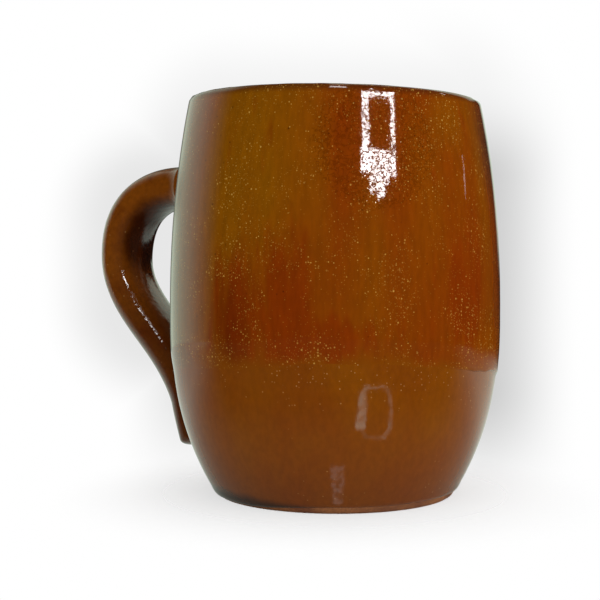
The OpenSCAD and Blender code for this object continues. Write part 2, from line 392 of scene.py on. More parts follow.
# Edges of the coats: the share of the thickness in the step, and the height of the fat roll behind it
PLAIN_EDGE = (1, 0)
FOOT_EDGE = (1, 0.35)
INSIDE_EDGE = (1, 0.15)
crown = np.full(TURN_SIDES, CROWN_AT)
floor_end = np.full(TURN_SIDES, LINE_AT[-1])
first_coat = coat(
    "first_coat", outside_at(foot_line), crown,
    0.0, FIRST_COAT_T, FOOT_EDGE, PLAIN_EDGE,
)
dip_coat = coat(
    "dip_coat", outside_at(dip_line), dip_end,
    FIRST_COAT_T, DIP_COAT_T, (dip_step_share, 0), INSIDE_EDGE,
)
liner = coat("liner", crown, floor_end, 0.0, FIRST_COAT_T, PLAIN_EDGE)

# The clay cup: the wire-cut underside, then the outline
WIRE_PITCH = 3.1
WIRE_DEPTH = 0.16
WIRE_CENTRE = (70.0, 25.0)
WIRE_WANDER = 0.3
WIRE_WANDER_RUN = 5
WIRE_ENDS = 12
BASE_ROWS = 70


def clay_cup():
    rows = []
    for share in np.linspace(0, 1, BASE_ROWS):
        radius = np.full(TURN_SIDES, (FOOT_R - FOOT_BEVEL) * share)
        x = radius * np.cos(TURNS)
        y = radius * np.sin(TURNS)
        wander = WIRE_WANDER * np.sin(y / WIRE_WANDER_RUN)
        sweep = np.hypot(x - WIRE_CENTRE[0], y - WIRE_CENTRE[1]) + wander
        groove = 0.5 - 0.5 * np.cos(math.tau * sweep / WIRE_PITCH)
        rows.append(np.stack([x, y, WIRE_DEPTH * groove ** 2 * eased((1 - share) * WIRE_ENDS)], -1))
    for at in np.linspace(0, LINE_AT[-1], 2 * COAT_ROWS):
        rows.append(turned_points(*line_point(np.full(TURN_SIDES, at), 0.0)))
    return make_object("clay_cup", np.concatenate(rows), grid_faces(len(rows), TURN_SIDES))


cup = clay_cup()

# The strap's centreline, as distance from the axis and height

BOW_RINGS = 52
FALL_RINGS = 64
TAIL_RINGS = 22
TIP_RINGS = 9
STRAP_SIDES = 72
TIP_END_TURN = math.radians(88)


def bezier(a, b, c, d, count):
    u = np.linspace(0, 1, count + 1)[:, None]
    return (1 - u) ** 3 * a + 3 * u * (1 - u) ** 2 * b + 3 * u * u * (1 - u) * c + u ** 3 * d


def wall_normal(z):
    slope = float(outer_slope(z))
    return np.array([1, -slope]) / math.sqrt(1 + slope * slope)


def off_wall(z, lift):
    return np.array([float(outer_r(z)), z]) + lift * wall_normal(z)


root_point = off_wall(TOP_ROOT_Z, COATS_T) - np.array([float(wall_t(TOP_ROOT_Z)) * BURY_SHARE, 0])
reach_point = np.array([REACH_R, REACH_Z])
landing_point = off_wall(LOW_ROOT_Z, STRAP_T * LANDING_SHARE)
up_the_wall = np.array([-wall_normal(LOW_ROOT_Z)[1], wall_normal(LOW_ROOT_Z)[0]])
bow = bezier(
    root_point,
    root_point + np.array([(REACH_R - root_point[0]) * ROOT_ARM_SHARE, 0]),
    reach_point + np.array([0, (TOP_ROOT_Z - REACH_Z) * BOW_ARM_SHARE]),
    reach_point,
    BOW_RINGS,
)
fall = bezier(
    reach_point,
    reach_point - np.array([0, (REACH_Z - LOW_ROOT_Z) * FALL_ARM_SHARE]),
    landing_point + up_the_wall * (REACH_Z - LOW_ROOT_Z) * TAIL_ARM_SHARE,
    landing_point,
    FALL_RINGS,
)
tail = np.array([
    off_wall(
        LOW_ROOT_Z + (TAIL_Z - LOW_ROOT_Z) * u,
        STRAP_T * (LANDING_SHARE + (TAIL_LIFT_SHARE - LANDING_SHARE) * u),
    )
    for u in np.linspace(0, 1, TAIL_RINGS + 1)
])
centreline = np.concatenate([bow, fall[1:], tail[1:]])
LAST_RING = len(centreline) - 1
travel = np.gradient(centreline, axis=0)
travel /= np.linalg.norm(travel, axis=1)[:, None]
length_to = np.concatenate([[0], np.cumsum(np.linalg.norm(np.diff(centreline, axis=0), axis=1))])
strap_share = length_to / length_to[-1]


def at_share(values, share):
    k = int(np.searchsorted(STATION_SHARES, share, side="left"))
    k = min(max(k, 1), len(STATION_SHARES) - 1)
    u = (share - STATION_SHARES[k - 1]) / (STATION_SHARES[k] - STATION_SHARES[k - 1])
    return values[k - 1] + (values[k] - values[k - 1]) * float(eased(u))


def flare_at(i):
    off = centreline[i][0] - float(outer_r(centreline[i][1]))
    near = 0 if i > BOW_RINGS else 1 - min(1, max(0, off) / ROOT_FLARE_RUN)
    return ROOT_FLARE * near * near


STRAP_TURNS = turns_of(STRAP_SIDES)
PULL_GROOVE = 0.07
PULL_GROOVES = 5
PULL_DRIFT = 2


def signed_power(v, power):
    return np.sign(v) * np.abs(v) ** power


def strap_ring(centre, outward, half_t, half_w, skirt, share):
    """One ring of the strap, with the faint grooves that pulling leaves along its outer face."""
    side = np.cos(STRAP_TURNS)
    wave = np.cos(PULL_GROOVES * STRAP_TURNS + PULL_DRIFT * share)
    groove = PULL_GROOVE * wave * np.clip(side, 0, 1)
    depth = (half_t + groove) * signed_power(side, 2 / SECTION_POWER)
    reach = half_w + skirt * (1 - side) / 2
    radius = centre[0] + outward[0] * depth
    height = centre[1] + outward[1] * depth
    return np.stack([-radius, reach * signed_power(np.sin(STRAP_TURNS), 2 / SECTION_POWER), height], -1)


def strap_rings(margin):
    rings = []
    for i in range(LAST_RING + 1):
        share = float(strap_share[i])
        outward = np.array([-travel[i][1], travel[i][0]])
        flare = flare_at(i)
        skirt = TAIL_SKIRT * float(eased((i - BOW_RINGS) / FALL_RINGS))
        half_t = STRAP_T / 2 * at_share(THICKNESS_SHARES, share) + margin + flare
        half_w = STRAP_W / 2 * at_share(WIDTH_SHARES, share) + margin + flare
        rings.append(strap_ring(centreline[i], outward, half_t, half_w, skirt, share))
    outward = np.array([-travel[-1][1], travel[-1][0]])
    for turn in np.linspace(0, TIP_END_TURN, TIP_RINGS + 1)[1:]:
        shrink = math.cos(turn)
        rings.append(strap_ring(
            centreline[-1] + travel[-1] * (TAIL_TIP + margin) * math.sin(turn),
            outward,
            (STRAP_T / 2 * THICKNESS_SHARES[-1] + margin) * shrink,
            (STRAP_W / 2 * WIDTH_SHARES[-1] + margin) * shrink,
            TAIL_SKIRT * shrink,
            1,
        ))
    return lip_tilt(np.array(rings))


def strap_solid(name, rings):
    """The closed solid through a set of rings."""
    faces = grid_faces(len(rings), STRAP_SIDES)
    last = (len(rings) - 1) * STRAP_SIDES
    faces.append(tuple(range(STRAP_SIDES)))
    faces.append(tuple(reversed(range(last, last + STRAP_SIDES))))
    return make_object(name, rings.reshape(-1, 3), faces)


def strap_shell(name, outer, inner):
    """The closed coat between two sets of rings, joined at the buried end and each capped at the tip."""
    rings = np.concatenate([outer, inner[::-1]])
    half = len(outer) * STRAP_SIDES
    tip = range(half - STRAP_SIDES, half)
    faces = grid_faces(len(rings), STRAP_SIDES, closed_rows=True)
    faces = [face for n, face in enumerate(faces) if n not in tip]
    faces.append(tuple(tip))
    faces.append(tuple(reversed(range(half, half + STRAP_SIDES))))
    return make_object(name, rings.reshape(-1, 3), faces)


strap = strap_solid("clay_strap", strap_rings(-SEAT))
strap_coat = strap_shell("strap_coat", strap_rings(HANDLE_COAT_T), strap_rings(0.0))


# Node helpers. A size or a place in a material is in millimetres, unless it is a share

def add(tree, kind, inputs=None, **settings):
    made = tree.nodes.new(kind)
    for key, value in settings.items():
        setattr(made, key, value)
    for key, value in (inputs or {}).items():
        socket = made.inputs[key]
        if isinstance(value, bpy.types.NodeSocket):
            tree.links.new(value, socket)
        else:
            socket.default_value = value
    return made


def calc(tree, operation, first, second=0.0, clamp=False):
    made = add(tree, "ShaderNodeMath", {0: first, 1: second}, operation=operation, use_clamp=clamp)
    return made.outputs[0]


def plus(tree, first, second):
    return calc(tree, "ADD", first, second)


def minus(tree, first, second):
    return calc(tree, "SUBTRACT", first, second)


def times(tree, first, second):
    return calc(tree, "MULTIPLY", first, second)


def larger(tree, first, second):
    return calc(tree, "MAXIMUM", first, second)


def apart(tree, first, second):
    return calc(tree, "ABSOLUTE", minus(tree, first, second))


def span(tree, value, low, high, low_to=0.0, high_to=1.0, kind="SMOOTHSTEP"):
    made = add(
        tree, "ShaderNodeMapRange",
        {"Value": value, "From Min": low, "From Max": high, "To Min": low_to, "To Max": high_to},
        interpolation_type=kind,
    )
    return made.outputs["Result"]


def span_mm(tree, value, low, high, low_to=0.0, high_to=1.0):
    """As span, between two lengths in millimetres."""
    return span(tree, value, low * MM, high * MM, low_to, high_to)


def vector_math(tree, operation, first, second):
    return add(tree, "ShaderNodeVectorMath", {0: first, 1: second}, operation=operation).outputs


def dot(tree, vector, axis):
    return vector_math(tree, "DOT_PRODUCT", vector, tuple(axis))["Value"]


def offset(tree, vector, centre):
    return vector_math(tree, "SUBTRACT", vector, tuple(centre * MM))["Vector"]


def length(tree, vector):
    return add(tree, "ShaderNodeVectorMath", {0: vector}, operation="LENGTH").outputs["Value"]


def stretched(tree, vector, scale):
    return vector_math(tree, "MULTIPLY", vector, scale)["Vector"]


def blend(tree, share, first, second):
    """A plain number between two others."""
    return add(tree, "ShaderNodeMix", {0: share, 2: first, 3: second}).outputs[0]


def colour_mix(tree, share, first, second, kind="MIX"):
    inputs = {0: share, 6: first, 7: second}
    return add(tree, "ShaderNodeMix", inputs, data_type="RGBA", blend_type=kind).outputs[2]


def painted(tree, colour, mask, share, shade):
    """A colour with a share of another one where the mask is 1."""
    return colour_mix(tree, times(tree, mask, share), colour, shade)


def mix_shaders(tree, share, first, second):
    return add(tree, "ShaderNodeMixShader", {0: share, 1: first, 2: second}).outputs[0]


def darkened(tree, colour, level):
    return colour_mix(tree, 1.0, colour, level, "MULTIPLY")


def noise(tree, vector, size, detail, roughness=0.5, distortion=0.0):
    """Noise whose features are about this many millimetres wide."""
    made = add(tree, "ShaderNodeTexNoise", {
        "Vector": vector, "Scale": 1 / (size * MM), "Detail": detail,
        "Roughness": roughness, "Distortion": distortion,
    })
    return made.outputs["Fac"]


# The stretch of a noise's values that grain is drawn from
GRAIN_FROM = 0.3
GRAIN_TO = 0.7


def grained(tree, colour, fine, least, most):
    """A colour made darker and lighter by a fine noise."""
    return darkened(tree, colour, span(tree, fine, GRAIN_FROM, GRAIN_TO, least, most, "LINEAR"))


# Places of a ramp's end colours in a noise's values, which seldom leave this stretch
RAMP_FROM = 0.36
NOISE_MIDDLE = 0.5
RAMP_TO = 0.64


def ramp(tree, value, first, last, middle=None):
    made = add(tree, "ShaderNodeValToRGB", {"Fac": value})
    stops = made.color_ramp.elements
    stops[0].position = RAMP_FROM
    stops[0].color = first
    stops[1].position = RAMP_TO
    stops[1].color = last
    if middle:
        stops.new(NOISE_MIDDLE).color = middle
    return made.outputs["Color"]


def rgb(red, green, blue):
    return (red, green, blue, 1.0)


WHITE = rgb(1, 1, 1)
IOR = 1.5


def new_material(name, roughness):
    material = bpy.data.materials.new(name)
    material.use_nodes = True
    tree = material.node_tree
    shader = tree.nodes["Principled BSDF"]
    shader.inputs["Roughness"].default_value = roughness
    shader.inputs["IOR"].default_value = IOR
    place = add(tree, "ShaderNodeTexCoord").outputs["Object"]
    return material, tree, shader, place


def surface(tree, shader, colour, layers):
    """The colour, and bump from layers of (height, depth in millimetres), finest last."""
    tree.links.new(colour, shader.inputs["Base Color"])
    last = None
    for height, depth in layers:
        made = add(tree, "ShaderNodeBump", {"Height": height, "Distance": depth * MM, "Strength": 1.0})
        if last:
            tree.links.new(last, made.inputs["Normal"])
        last = made.outputs["Normal"]
    tree.links.new(last, shader.inputs["Normal"])


def waves(tree, place, layers):
    """Bump layers from noises, each with its width, detail and depth."""
    return [(noise(tree, place, width, detail), depth) for width, detail, depth in layers]


SPECK_CORE_SHARE = 0.55
DULLEST_SPECK_SHARE = 0.25


def specks(tree, place, cell, size_share, keep_above, crowd=0.0):
    """Small round specks: a few of the cells, in crowds."""
    cells = add(tree, "ShaderNodeTexVoronoi", {"Vector": place, "Scale": 1 / (cell * MM)})
    split = add(tree, "ShaderNodeSeparateColor", {"Color": cells.outputs["Color"]})
    dot_mask = span(tree, cells.outputs["Distance"], size_share, size_share * SPECK_CORE_SHARE)
    lucky = calc(tree, "GREATER_THAN", plus(tree, split.outputs[0], crowd), keep_above)
    bright = span(tree, split.outputs[1], 0, 1, DULLEST_SPECK_SHARE, 1, "LINEAR")
    return times(tree, times(tree, dot_mask, lucky), bright)


def patch(tree, place, turn, height, wide, tall):
    """How near a place is to a spot on the wall: turn from the camera's side, in degrees."""
    off = offset(tree, place, round_place(turn, height, BELLY_R))
    scaled = stretched(tree, off, (1 / (wide * MM), 1 / (wide * MM), 1 / (tall * MM)))
    return span(tree, length(tree, scaled), 1.0, 0.0)


# A noise is given by its width in millimetres, its detail, roughness and distortion

# Amber glaze: its colours
AMBER_YELLOW = rgb(0.272, 0.088, 0.0007)
AMBER_MIDDLE = rgb(0.264, 0.066, 0.0007)
AMBER_RED = rgb(0.25, 0.042, 0.0007)
AMBER_LOW = rgb(0.22, 0.031, 0.0006)
AMBER_CLOUD = rgb(0.238, 0.031, 0.0006)
AMBER_THIN = rgb(0.24, 0.06, 0.001)
AMBER_LIP = rgb(0.075, 0.018, 0.004)
AMBER_DUST = rgb(0.7, 0.4, 0.06)
# The golden specks' colour is partly a painted glint
AMBER_GOLD_GLINT = rgb(0.8, 0.46, 0.08)
AMBER_PIT = rgb(0.03, 0.006, 0.001)

# Its streaks, clouds and fine grain, and how far they are drawn out along the wall
STREAK_STRETCH = (1, 1, 0.14)
CLOUD_STRETCH = (1, 1, 0.2)
FINE_STRETCH = (1, 1, 0.25)
STREAKS = (22, 1.5)
CLOUDS = (6, 2.5, 0.6)
FINE = (1.5, 2, 0.6)
AMBER_GRAIN_SHARES = (0.9, 1.1)
AMBER_ROUGH = 0.05
CLOUD_SPREAD_SHARES = (0.25, 0.75, 0.34, 0.66, "LINEAR")
CLOUD_EDGE_SHARES = (0.54, 0.72)
CLOUD_SHARE = 0.85

# Where it is yellower, below 0, or redder: turn, height, half width, half height and what it adds
STREAK_PATCHES = (
    (-14, 88, 20, 42, -0.1),
    (44, 103, 12, 14, -0.16),
    (27, 60, 14, 30, -0.06),
    (7, 100, 14, 40, 0.1),
    (46, 60, 18, 30, 0.08),
)
# Where the dark red clouds gather: turn, height, half width and half height
CLOUD_PATCHES = (
    (-32, 54, 11, 36),
    (-16, 54, 10, 30),
    (0, 46, 22, 11),
    (46, 57, 14, 24),
    (150, 55, 24, 24),
    (200, 50, 20, 22),
)
CLOUD_PATCH_SHARE = 0.25
# Painted shade, darker beside the strap and at the camera's right where less light falls, and one dark red
# run, the glaze's own colour: patch, share and shade
PAINTED_SHADE_AND_RUN_PATCHES = (
    ((-78, 60, 30, 90), 0.7, rgb(0.12, 0.07, 0.008)),
    ((-35, 47, 9, 24), 0.8, rgb(0.16, 0.018, 0.0006)),
    ((74, 98, 16, 26), 0.75, rgb(0.07, 0.035, 0.018)),
    ((92, 70, 24, 70), 0.8, rgb(0.07, 0.025, 0.008)),
)
# It reddens from the first of these heights down to the second
LOW_RED = (84, 52, 0, 0.32)

# Above its slanted lower edge it is thin and browner, over these heights, with a wavy end
THIN_RUN = (2, 6.5, 1, 0)
THIN_WAVE = (9, 2)
THIN_WAVE_H = 7
# It darkens along the lip, from the first of these depths below its top to the second
DARK_FROM = 2.6
DARK_TO = 0.5
LIP_DARK = (MUG_H - DARK_FROM, MUG_H - DARK_TO)
LIP_DARK_SHARE = 0.7

# Golden specks in crowds, painted light partly as glints, and dark pits: cell, size in it, which cells have
# one, and the share that shows
CROWD = (13, 2)
AMBER_CROWD_SHARES = (0.36, 0.66, -0.18, 0.12)
GOLD_GLINT_SPECKS = (0.6, 0.36, 0.86)
LARGE_GLINT_SPECKS = (1.0, 0.3, 0.93)
DUST_SPECKS = (0.42, 0.4, 0.76)
PIT_SPECKS = (1.7, 0.2, 0.93)
LARGE_SHIFT = (1, 1.02, 0.97)
DUST_SHIFT = (1.02, 1, 0.98)
PIT_SHIFT = (1.01, 1, 0.97)
GOLD_SHARE = 0.65
DUST_SHARE = 0.32
PIT_SHARE = 0.6

# Fine wrinkles, only round the place where the window shows: they are dull, and painted darker as dark
# breaks in the window's highlight
WRINKLES = (1.4, 2, 0.65)
WRINKLE_PATCH = (14, 95, 25, 25)
WRINKLE_FADE_SHARES = (0.05, 0.35, 1, 0)
WRINKLE_CLEAR = 0.1
WRINKLE_GLOSS_SHARES = (0.03, 0.055, 0.02, 0.5)
WRINKLE_SHADE_SHARES = (0.03, 0.055, 0.72, 1.0)
# Gloss taken out as painted shade: beside the strap's root, where the strap shades the wall, and along the
# slanted edge at the right, over a pale reflection
SHADE_DULL_PATCHES = ((-84, 84, 22, 16), (70, 41, 30, 12))
SHADE_DULL_FADE_SHARES = (0, 0.6, 1, 0.15)

# Its surface: slow waves and a fine peel, by width, detail and depth, and the height of the specks
AMBER_WAVES = ((7, 2, 0.03), (0.8, 1.5, 0.006))
SPECK_H = 0.006


def amber_glaze():
    material, tree, shader, place = new_material("amber_glaze", AMBER_ROUGH)
    height = dot(tree, place, UP)
    runs = stretched(tree, place, STREAK_STRETCH)
    streaks = noise(tree, runs, *STREAKS)
    for *spot, share in STREAK_PATCHES:
        streaks = plus(tree, streaks, times(tree, patch(tree, place, *spot), share))
    colour = ramp(tree, streaks, AMBER_YELLOW, AMBER_RED, AMBER_MIDDLE)

    # Redder low down, with dark red clouds mostly on the camera's side
    colour = colour_mix(tree, span_mm(tree, height, *LOW_RED), colour, AMBER_LOW)
    cloud = noise(tree, stretched(tree, place, CLOUD_STRETCH), *CLOUDS)
    cloud = span(tree, cloud, *CLOUD_SPREAD_SHARES)
    for spot in CLOUD_PATCHES:
        cloud = plus(tree, cloud, times(tree, patch(tree, place, *spot), CLOUD_PATCH_SHARE))
    colour = painted(tree, colour, span(tree, cloud, *CLOUD_EDGE_SHARES), CLOUD_SHARE, AMBER_CLOUD)
    # Painted shade beside the strap and at the camera's right, and the glaze's dark red run
    for spot, share, shade in PAINTED_SHADE_AND_RUN_PATCHES:
        colour = painted(tree, colour, patch(tree, place, *spot), share, shade)

    fine = noise(tree, stretched(tree, place, FINE_STRETCH), *FINE)
    colour = grained(tree, colour, fine, *AMBER_GRAIN_SHARES)

    # The thin lower edge and the lip
    slant = DIP_RISE / BELLY_R
    edge_axis = (-slant * math.cos(DIP_TURN), -slant * math.sin(DIP_TURN), 1)
    over_edge = minus(tree, dot(tree, place, edge_axis), DIP_LINE_Z * MM)
    wave = times(tree, noise(tree, runs, *THIN_WAVE), THIN_WAVE_H * MM)
    thin = span_mm(tree, plus(tree, over_edge, wave), *THIN_RUN)
    colour = colour_mix(tree, thin, colour, AMBER_THIN)
    along_lip = plus(tree, height, times(tree, dot(tree, place, RIGHT), LIP_LEAN))
    lip = span_mm(tree, along_lip, *LIP_DARK)
    colour = painted(tree, colour, lip, LIP_DARK_SHARE, AMBER_LIP)

    crowd = span(tree, noise(tree, place, *CROWD), *AMBER_CROWD_SHARES)
    # Golden specks of the glaze, painted light to stand in for glints as well
    gold = specks(tree, place, *GOLD_GLINT_SPECKS, crowd)
    large = specks(tree, stretched(tree, place, LARGE_SHIFT), *LARGE_GLINT_SPECKS, crowd)
    gold = larger(tree, gold, large)
    dust = specks(tree, stretched(tree, place, DUST_SHIFT), *DUST_SPECKS, crowd)
    pits = specks(tree, stretched(tree, place, PIT_SHIFT), *PIT_SPECKS)
    colour = painted(tree, colour, dust, DUST_SHARE, AMBER_DUST)
    colour = painted(tree, colour, gold, GOLD_SHARE, AMBER_GOLD_GLINT)
    colour = painted(tree, colour, pits, PIT_SHARE, AMBER_PIT)

    crease = apart(tree, noise(tree, place, *WRINKLES), NOISE_MIDDLE)
    even = span(tree, patch(tree, place, *WRINKLE_PATCH), *WRINKLE_FADE_SHARES)
    crease = plus(tree, crease, times(tree, even, WRINKLE_CLEAR))
    glossy = span(tree, crease, *WRINKLE_GLOSS_SHARES)
    # Painted shade: the wrinkles darken the colour only round the window's highlight
    colour = darkened(tree, colour, span(tree, crease, *WRINKLE_SHADE_SHARES))
    # Painted shade: no gloss beside the strap's root and on the slanted edge at the right
    for spot in SHADE_DULL_PATCHES:
        glossy = times(tree, glossy, span(tree, patch(tree, place, *spot), *SHADE_DULL_FADE_SHARES))
    tree.links.new(glossy, shader.inputs["Specular IOR Level"])
    surface(tree, shader, colour, waves(tree, place, AMBER_WAVES) + [(gold, SPECK_H)])
    return material


# Brown glaze: mottled, fine-grained and deeper low down
BROWN_LIGHT = rgb(0.25, 0.066, 0.0008)
BROWN_DARK = rgb(0.228, 0.052, 0.001)
BROWN_LOW = rgb(0.19, 0.042, 0.004)
BROWN_FOOT_SHADE = rgb(0.035, 0.014, 0.008)
BROWN_GOLD_GLINT = rgb(0.75, 0.42, 0.13)
MOTTLE_STRETCH = (1, 1, 0.6)
MOTTLE = (18, 2.5, 0.55, 0.2)
BROWN_FINE_STRETCH = (1, 1, 0.5)
BROWN_FINE = (1.3, 2, 0.6)
BROWN_GRAIN_SHARES = (0.92, 1.08)
BROWN_ROUGH = 0.1
LOW_BROWN = (22, 2)
LOW_BROWN_SHARE = 0.5

# Painted shade, dark along the foot where the wall turns under toward the table, up to these heights at
# these places to the camera's right
FOOT_SHADE_ACROSS = (-34, 4)
FOOT_SHADE_TOP = (4.4, 2.2)
FOOT_SHADE_WAVE = (7, 2)
FOOT_SHADE_WAVE_H = 1.2
FOOT_SHADE_EDGE_SHARES = (1.3, 0.6)
FOOT_SHADE_SHARE = 0.85

# Its specks are fewer, crowd near the second coat's edge, and are painted light partly as glints
BROWN_CROWD_SHARES = (0.4, 0.7, -0.12, 0.03)
BROWN_CROWD_Z = (24, 36, -0.04, 0.12)
BROWN_GLINT_SPECKS = (0.7, 0.32, 0.9)
BROWN_GOLD_SHARE = 0.45
ROUGH_NOISE = (3, 2)
BROWN_ROUGH_SHARES = (0.3, 0.7, 0.06, 0.1, "LINEAR")
BROWN_WAVES = ((6, 2, 0.03), (0.9, 2, 0.008))


def brown_glaze():
    material, tree, shader, place = new_material("brown_glaze", BROWN_ROUGH)
    height = dot(tree, place, UP)
    mottle = noise(tree, stretched(tree, place, MOTTLE_STRETCH), *MOTTLE)
    colour = ramp(tree, mottle, BROWN_LIGHT, BROWN_DARK)
    colour = painted(tree, colour, span_mm(tree, height, *LOW_BROWN), LOW_BROWN_SHARE, BROWN_LOW)

    across = dot(tree, place, RIGHT)
    # Painted shade along the foot, taller on the camera's left
    shade_top = span_mm(tree, across, *FOOT_SHADE_ACROSS, *(top * MM for top in FOOT_SHADE_TOP))
    uneven = plus(tree, height, times(tree, noise(tree, place, *FOOT_SHADE_WAVE), FOOT_SHADE_WAVE_H * MM))
    foot_shade = calc(tree, "DIVIDE", uneven, shade_top)
    colour = painted(tree, colour, span(tree, foot_shade, *FOOT_SHADE_EDGE_SHARES), FOOT_SHADE_SHARE, BROWN_FOOT_SHADE)

    fine = noise(tree, stretched(tree, place, BROWN_FINE_STRETCH), *BROWN_FINE)
    colour = grained(tree, colour, fine, *BROWN_GRAIN_SHARES)
    crowd = span(tree, noise(tree, place, *CROWD), *BROWN_CROWD_SHARES)
    crowd = plus(tree, crowd, span_mm(tree, height, *BROWN_CROWD_Z))
    # Golden specks of the glaze, painted light to stand in for glints as well
    gold = specks(tree, place, *BROWN_GLINT_SPECKS, crowd)
    colour = painted(tree, colour, gold, BROWN_GOLD_SHARE, BROWN_GOLD_GLINT)
    rough = span(tree, noise(tree, place, *ROUGH_NOISE), *BROWN_ROUGH_SHARES)
    tree.links.new(rough, shader.inputs["Roughness"])
    surface(tree, shader, colour, waves(tree, place, BROWN_WAVES))
    return material


# Glaze on the strap: thin and amber on the outer face, with painted shade making it dark under the arch,
# between the strap and the wall
STRAP_AMBER = rgb(0.208, 0.054, 0.0035)
STRAP_ARCH_SHADE = rgb(0.045, 0.0085, 0.001)
STRAP_DEEP = rgb(0.06, 0.013, 0.0015)
STRAP_RED = rgb(0.09, 0.013, 0.001)
SPARSE_GOLD = rgb(0.7, 0.4, 0.14)
ARCH_IN = 16
ARCH_UP = 4
ARCH_CENTRE = np.array([ARCH_IN - REACH_R, 0, REACH_Z + ARCH_UP])
ARCH_STRETCH = (1, 0.25, 1)
ARCH_EDGE = (12.8, 17.5)
ARCH_WAVE_H = 5
STRAP_STRETCH = (0.6, 1, 0.6)
STRAP_STREAKS = (6, 3, 0.55, 0.3)
# It is browner down the fall, from the first height to the second, and red in some streaks
DEEP_FALL = (64, 44)
DEEP_SHARE = 0.6
RED_EDGE_SHARES = (0.5, 0.68)
RED_STREAK_SHARE = 0.5
STRAP_FINE = (1.3, 2, 0.6)
DARK_GRAIN_SHARES = (0.88, 1.12)
STRAP_ROUGH = 0.08
SPARSE_SPECKS = (0.9, 0.25, 0.93)
STRAP_GOLD_SHARE = 0.4
# Glossy, but with the gloss taken out as painted shade under the arch beside the upper root, as far along a
# slanted line
DULL_AXIS = (1, 0, 0.6)
SHADE_DULL_ROOT = (-19, -11, 0.7, 0.08)
STRAP_WAVES = ((5, 2, 0.12), (1.1, 2.5, 0.075))


def strap_glaze():
    material, tree, shader, place = new_material("strap_glaze", STRAP_ROUGH)
    # Painted shade: no gloss in the crook beside the upper root
    dull = span_mm(tree, dot(tree, place, DULL_AXIS), *SHADE_DULL_ROOT)
    tree.links.new(dull, shader.inputs["Specular IOR Level"])
    streaks = noise(tree, stretched(tree, place, STRAP_STRETCH), *STRAP_STREAKS)
    # Painted shade: dark under the arch, amber further out
    far = length(tree, stretched(tree, offset(tree, place, ARCH_CENTRE), ARCH_STRETCH))
    wavy = plus(tree, far, times(tree, streaks, ARCH_WAVE_H * MM))
    colour = colour_mix(tree, span_mm(tree, wavy, *ARCH_EDGE), STRAP_ARCH_SHADE, STRAP_AMBER)
    deep = span_mm(tree, dot(tree, place, UP), *DEEP_FALL)
    colour = painted(tree, colour, deep, DEEP_SHARE, STRAP_DEEP)
    colour = painted(tree, colour, span(tree, streaks, *RED_EDGE_SHARES), RED_STREAK_SHARE, STRAP_RED)
    colour = grained(tree, colour, noise(tree, place, *STRAP_FINE), *DARK_GRAIN_SHARES)
    gold = specks(tree, place, *SPARSE_SPECKS)
    colour = painted(tree, colour, gold, STRAP_GOLD_SHARE, SPARSE_GOLD)
    surface(tree, shader, colour, waves(tree, place, STRAP_WAVES))
    return material


# Glaze inside: mottled along the wall, thick and dark where it ran together on the floor
LINER_LIGHT = rgb(0.19, 0.056, 0.003)
LINER_DARK = rgb(0.13, 0.028, 0.003)
LINER_POOL = rgb(0.05, 0.012, 0.002)
LINER_STRETCH = (1, 1, 0.35)
LINER_MOTTLE = (14, 3, 0.55, 0.3)
LINER_ROUGH = 0.12
LINER_POOL_Z = (26, 7)
LINER_POOL_SHARE = 0.75
LINER_GOLD_SHARE = 0.45
LINER_WAVES = ((7, 2, 0.1), (1, 2, 0.03))


def liner_glaze():
    material, tree, shader, place = new_material("liner_glaze", LINER_ROUGH)
    runs = stretched(tree, place, LINER_STRETCH)
    mottle = noise(tree, runs, *LINER_MOTTLE)
    colour = ramp(tree, mottle, LINER_LIGHT, LINER_DARK)
    pool = span_mm(tree, dot(tree, place, UP), *LINER_POOL_Z)
    colour = painted(tree, colour, pool, LINER_POOL_SHARE, LINER_POOL)
    colour = grained(tree, colour, noise(tree, runs, *FINE), *DARK_GRAIN_SHARES)
    gold = specks(tree, place, *SPARSE_SPECKS)
    colour = painted(tree, colour, gold, LINER_GOLD_SHARE, SPARSE_GOLD)
    surface(tree, shader, colour, waves(tree, place, LINER_WAVES))
    return material


# Bare clay and slip: cloudy, grained, with grog of a lighter clay
CLAY_LIGHT = rgb(0.4, 0.15, 0.045)
CLAY_DARK = rgb(0.26, 0.085, 0.028)
SLIP_LIGHT = rgb(0.2, 0.07, 0.03)
SLIP_DARK = rgb(0.15, 0.05, 0.02)
GROG = rgb(0.5, 0.3, 0.17)
CLAY_CLOUDS = (9, 3, 0.6)
CLAY_CLOUD_SHARES = (0.35, 0.65)
CLAY_FINE = (0.5, 2, 0.6)
CLAY_GRAIN_SHARES = (0.8, 1.2)
CLAY_ROUGH = 0.85
GROG_SPECKS = (1.1, 0.3, 0.86)
GROG_SHARE = 0.5
CLAY_WAVES = ((2.2, 3, 0.12), (0.4, 2, 0.05))


def fired_clay(name, light, dark):
    material, tree, shader, place = new_material(name, CLAY_ROUGH)
    cloud = noise(tree, place, *CLAY_CLOUDS)
    colour = colour_mix(tree, span(tree, cloud, *CLAY_CLOUD_SHARES), light, dark)
    colour = grained(tree, colour, noise(tree, place, *CLAY_FINE), *CLAY_GRAIN_SHARES)
    colour = painted(tree, colour, specks(tree, place, *GROG_SPECKS), GROG_SHARE, GROG)
    surface(tree, shader, colour, waves(tree, place, CLAY_WAVES))
    return material


amber = amber_glaze()
brown = brown_glaze()
inner = liner_glaze()
strap_look = strap_glaze()
clay = fired_clay("foot_clay", CLAY_LIGHT, CLAY_DARK)
slip = fired_clay("joint_slip", SLIP_LIGHT, SLIP_DARK)

